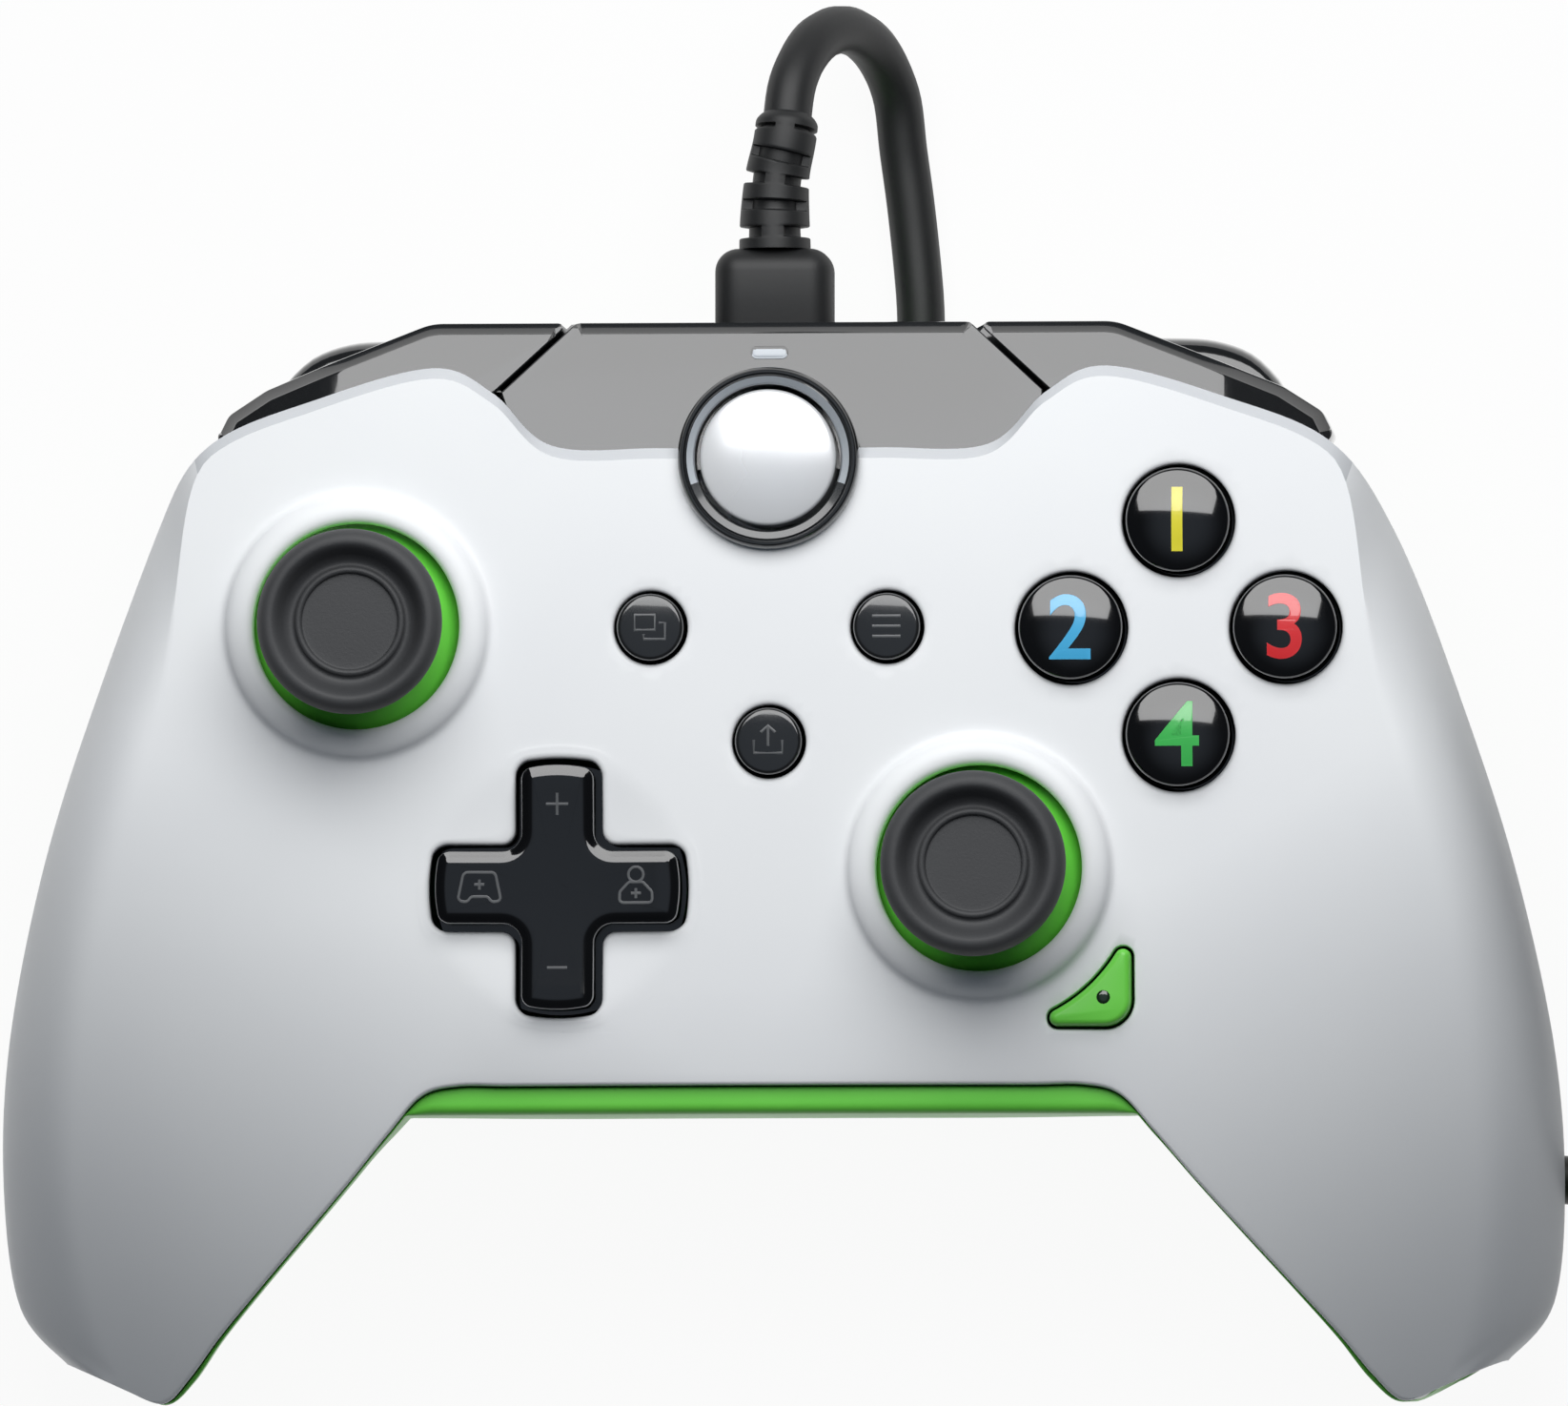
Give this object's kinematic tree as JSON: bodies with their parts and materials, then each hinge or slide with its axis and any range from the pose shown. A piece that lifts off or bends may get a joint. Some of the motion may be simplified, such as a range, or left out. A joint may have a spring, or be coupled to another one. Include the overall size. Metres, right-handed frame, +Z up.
{
  "type": "wired gamepad",
  "caption": "White and green wired gamepad with tilting sticks, a direction pad, push buttons, bumpers, triggers and a coiled cable.",
  "frame": {"origin": "on the table under the middle of the gamepad's box, cable left out", "axes": "+X to the player's right, +Y towards the cable and triggers, +Z up out of the face"},
  "size_m": [0.2359, 0.1386, 0.049],
  "materials": {
    "white_shell": "satin",
    "green_plastic": "satin",
    "dark_gloss": "gloss",
    "black_gloss": "gloss",
    "pearl": "satin",
    "stick_rubber": "matte",
    "cable_black": "matte",
    "tie_black": "matte",
    "black_plastic": "matte",
    "steel": "satin",
    "circuit_board": "satin",
    "membrane": "matte",
    "light_pipe": "gloss",
    "dark_lens": "gloss"
  },
  "bodies": {
    "body": {"front_shell": "white_shell", "rear_shell": "green_plastic", "center_fascia": "dark_gloss", "guide_ring": "dark_gloss", "connector_plug": "cable_black", "strain_relief": "cable_black", "cable_lead": "cable_black", "cable_coil": "cable_black", "usb_plug": "cable_black", "coil_tie": "tie_black", "chassis": "black_plastic", "headset_jack": "black_plastic", "tact_switches": "black_plastic", "guide_switch": "black_plastic", "bumper_switches": "black_plastic", "trigger_pins": "steel", "bumper_pins": "steel", "trigger_springs": "steel", "shell_screws": "steel", "usb_socket": "steel", "left_motor": "steel", "right_motor": "steel", "left_stick_housing": "steel", "right_stick_housing": "steel", "connector_tip": "steel", "usb_plug_shell": "steel", "main_board": "circuit_board", "dpad_membrane": "membrane", "action_membrane": "membrane", "status_light": "light_pipe"},
    "left_bumper": {"left_bumper": "dark_gloss"},
    "right_bumper": {"right_bumper": "dark_gloss"},
    "left_trigger": {"left_trigger": "dark_gloss"},
    "right_trigger": {"right_trigger": "dark_gloss"},
    "left_yoke": {"left_yoke": "black_plastic"},
    "left_spider": {"left_spider": "steel"},
    "left_stick": {"left_stick_dome": "green_plastic", "left_stick_cap": "stick_rubber"},
    "right_yoke": {"right_yoke": "black_plastic"},
    "right_spider": {"right_spider": "steel"},
    "right_stick": {"right_stick_dome": "green_plastic", "right_stick_cap": "stick_rubber"},
    "dpad_pivot": {"dpad_pivot": "steel"},
    "dpad": {"dpad": "black_gloss"},
    "north_button": {"north_button": "black_gloss"},
    "west_button": {"west_button": "black_gloss"},
    "east_button": {"east_button": "black_gloss"},
    "south_button": {"south_button": "black_gloss"},
    "view_button": {"view_button": "dark_gloss"},
    "menu_button": {"menu_button": "dark_gloss"},
    "share_button": {"share_button": "dark_gloss"},
    "guide_button": {"guide_button": "pearl"},
    "function_button": {"function_button": "green_plastic", "function_light": "dark_lens"},
    "left_weight": {"left_weight": "steel"},
    "right_weight": {"right_weight": "steel"}
  },
  "joints": [
    {"name": "left_stick_pitch", "type": "hinge", "parent": "body", "child": "left_yoke", "pos_m": [-0.0408, 0.0235, 0.0275], "axis": [1, 0, 0], "range_deg": [-16, 16], "stiffness_Nm_per_rad": 0.03},
    {"name": "left_stick_roll", "type": "hinge", "parent": "left_yoke", "child": "left_spider", "pos_m": [-0.0408, 0.0235, 0.0275], "axis": [0, 1, 0], "range_deg": [-16, 16], "stiffness_Nm_per_rad": 0.03},
    {"name": "left_stick_click", "type": "slide", "parent": "left_spider", "child": "left_stick", "axis": [0, 0, -1], "range_m": [0, 0.0005], "stiffness_N_per_m": 2500, "springref_m": -0.0002},
    {"name": "right_stick_pitch", "type": "hinge", "parent": "body", "child": "right_yoke", "pos_m": [0.0208, -0.0006, 0.0275], "axis": [1, 0, 0], "range_deg": [-16, 16], "stiffness_Nm_per_rad": 0.03},
    {"name": "right_stick_roll", "type": "hinge", "parent": "right_yoke", "child": "right_spider", "pos_m": [0.0208, -0.0006, 0.0275], "axis": [0, 1, 0], "range_deg": [-16, 16], "stiffness_Nm_per_rad": 0.03},
    {"name": "right_stick_click", "type": "slide", "parent": "right_spider", "child": "right_stick", "axis": [0, 0, -1], "range_m": [0, 0.0005], "stiffness_N_per_m": 2500, "springref_m": -0.0002},
    {"name": "dpad_pitch", "type": "hinge", "parent": "body", "child": "dpad_pivot", "pos_m": [-0.0208, -0.0024, 0.0296], "axis": [1, 0, 0], "range_deg": [-2.5, 2.5], "stiffness_Nm_per_rad": 0.3},
    {"name": "dpad_roll", "type": "hinge", "parent": "dpad_pivot", "child": "dpad", "pos_m": [-0.0208, -0.0024, 0.0296], "axis": [0, 1, 0], "range_deg": [-2.5, 2.5], "stiffness_Nm_per_rad": 0.3},
    {"name": "north_press", "type": "slide", "parent": "body", "child": "north_button", "axis": [0, 0, -1], "range_m": [0, 0.0014], "stiffness_N_per_m": 500, "springref_m": -0.0002},
    {"name": "west_press", "type": "slide", "parent": "body", "child": "west_button", "axis": [0, 0, -1], "range_m": [0, 0.0014], "stiffness_N_per_m": 500, "springref_m": -0.0002},
    {"name": "east_press", "type": "slide", "parent": "body", "child": "east_button", "axis": [0, 0, -1], "range_m": [0, 0.0014], "stiffness_N_per_m": 500, "springref_m": -0.0002},
    {"name": "south_press", "type": "slide", "parent": "body", "child": "south_button", "axis": [0, 0, -1], "range_m": [0, 0.0014], "stiffness_N_per_m": 500, "springref_m": -0.0002},
    {"name": "view_press", "type": "slide", "parent": "body", "child": "view_button", "axis": [0, 0, -1], "range_m": [0, 0.0005], "stiffness_N_per_m": 2500, "springref_m": -0.0002},
    {"name": "menu_press", "type": "slide", "parent": "body", "child": "menu_button", "axis": [0, 0, -1], "range_m": [0, 0.0005], "stiffness_N_per_m": 2500, "springref_m": -0.0002},
    {"name": "share_press", "type": "slide", "parent": "body", "child": "share_button", "axis": [0, 0, -1], "range_m": [0, 0.0005], "stiffness_N_per_m": 2500, "springref_m": -0.0002},
    {"name": "guide_press", "type": "slide", "parent": "body", "child": "guide_button", "axis": [0, 0, -1], "range_m": [0, 0.0005], "stiffness_N_per_m": 2500, "springref_m": -0.0002},
    {"name": "function_press", "type": "slide", "parent": "body", "child": "function_button", "axis": [0, 0, -1], "range_m": [0, 0.0005], "stiffness_N_per_m": 2500, "springref_m": -0.0002},
    {"name": "left_bumper_press", "type": "hinge", "parent": "body", "child": "left_bumper", "pos_m": [-0.0295, 0.047, 0.027], "axis": [0, -1, 0], "range_deg": [0, 1.6], "stiffness_Nm_per_rad": 1, "springref_deg": -1.15},
    {"name": "right_bumper_press", "type": "hinge", "parent": "body", "child": "right_bumper", "pos_m": [0.0295, 0.047, 0.027], "axis": [0, 1, 0], "range_deg": [0, 1.6], "stiffness_Nm_per_rad": 1, "springref_deg": -1.15},
    {"name": "left_trigger_pull", "type": "hinge", "parent": "body", "child": "left_trigger", "pos_m": [-0.036, 0.0375, 0.017], "axis": [-1, 0, 0], "range_deg": [0, 18], "stiffness_Nm_per_rad": 0.12, "springref_deg": -11.46},
    {"name": "right_trigger_pull", "type": "hinge", "parent": "body", "child": "right_trigger", "pos_m": [0.036, 0.0375, 0.017], "axis": [-1, 0, 0], "range_deg": [0, 18], "stiffness_Nm_per_rad": 0.12, "springref_deg": -11.46},
    {"name": "left_weight_spin", "type": "hinge", "parent": "body", "child": "left_weight", "pos_m": [-0.0505, -0.009, 0.017], "axis": [-0.5, -0.866, 0], "continuous": true},
    {"name": "right_weight_spin", "type": "hinge", "parent": "body", "child": "right_weight", "pos_m": [0.0505, -0.009, 0.017], "axis": [0.5, -0.866, 0], "continuous": true}
  ]
}
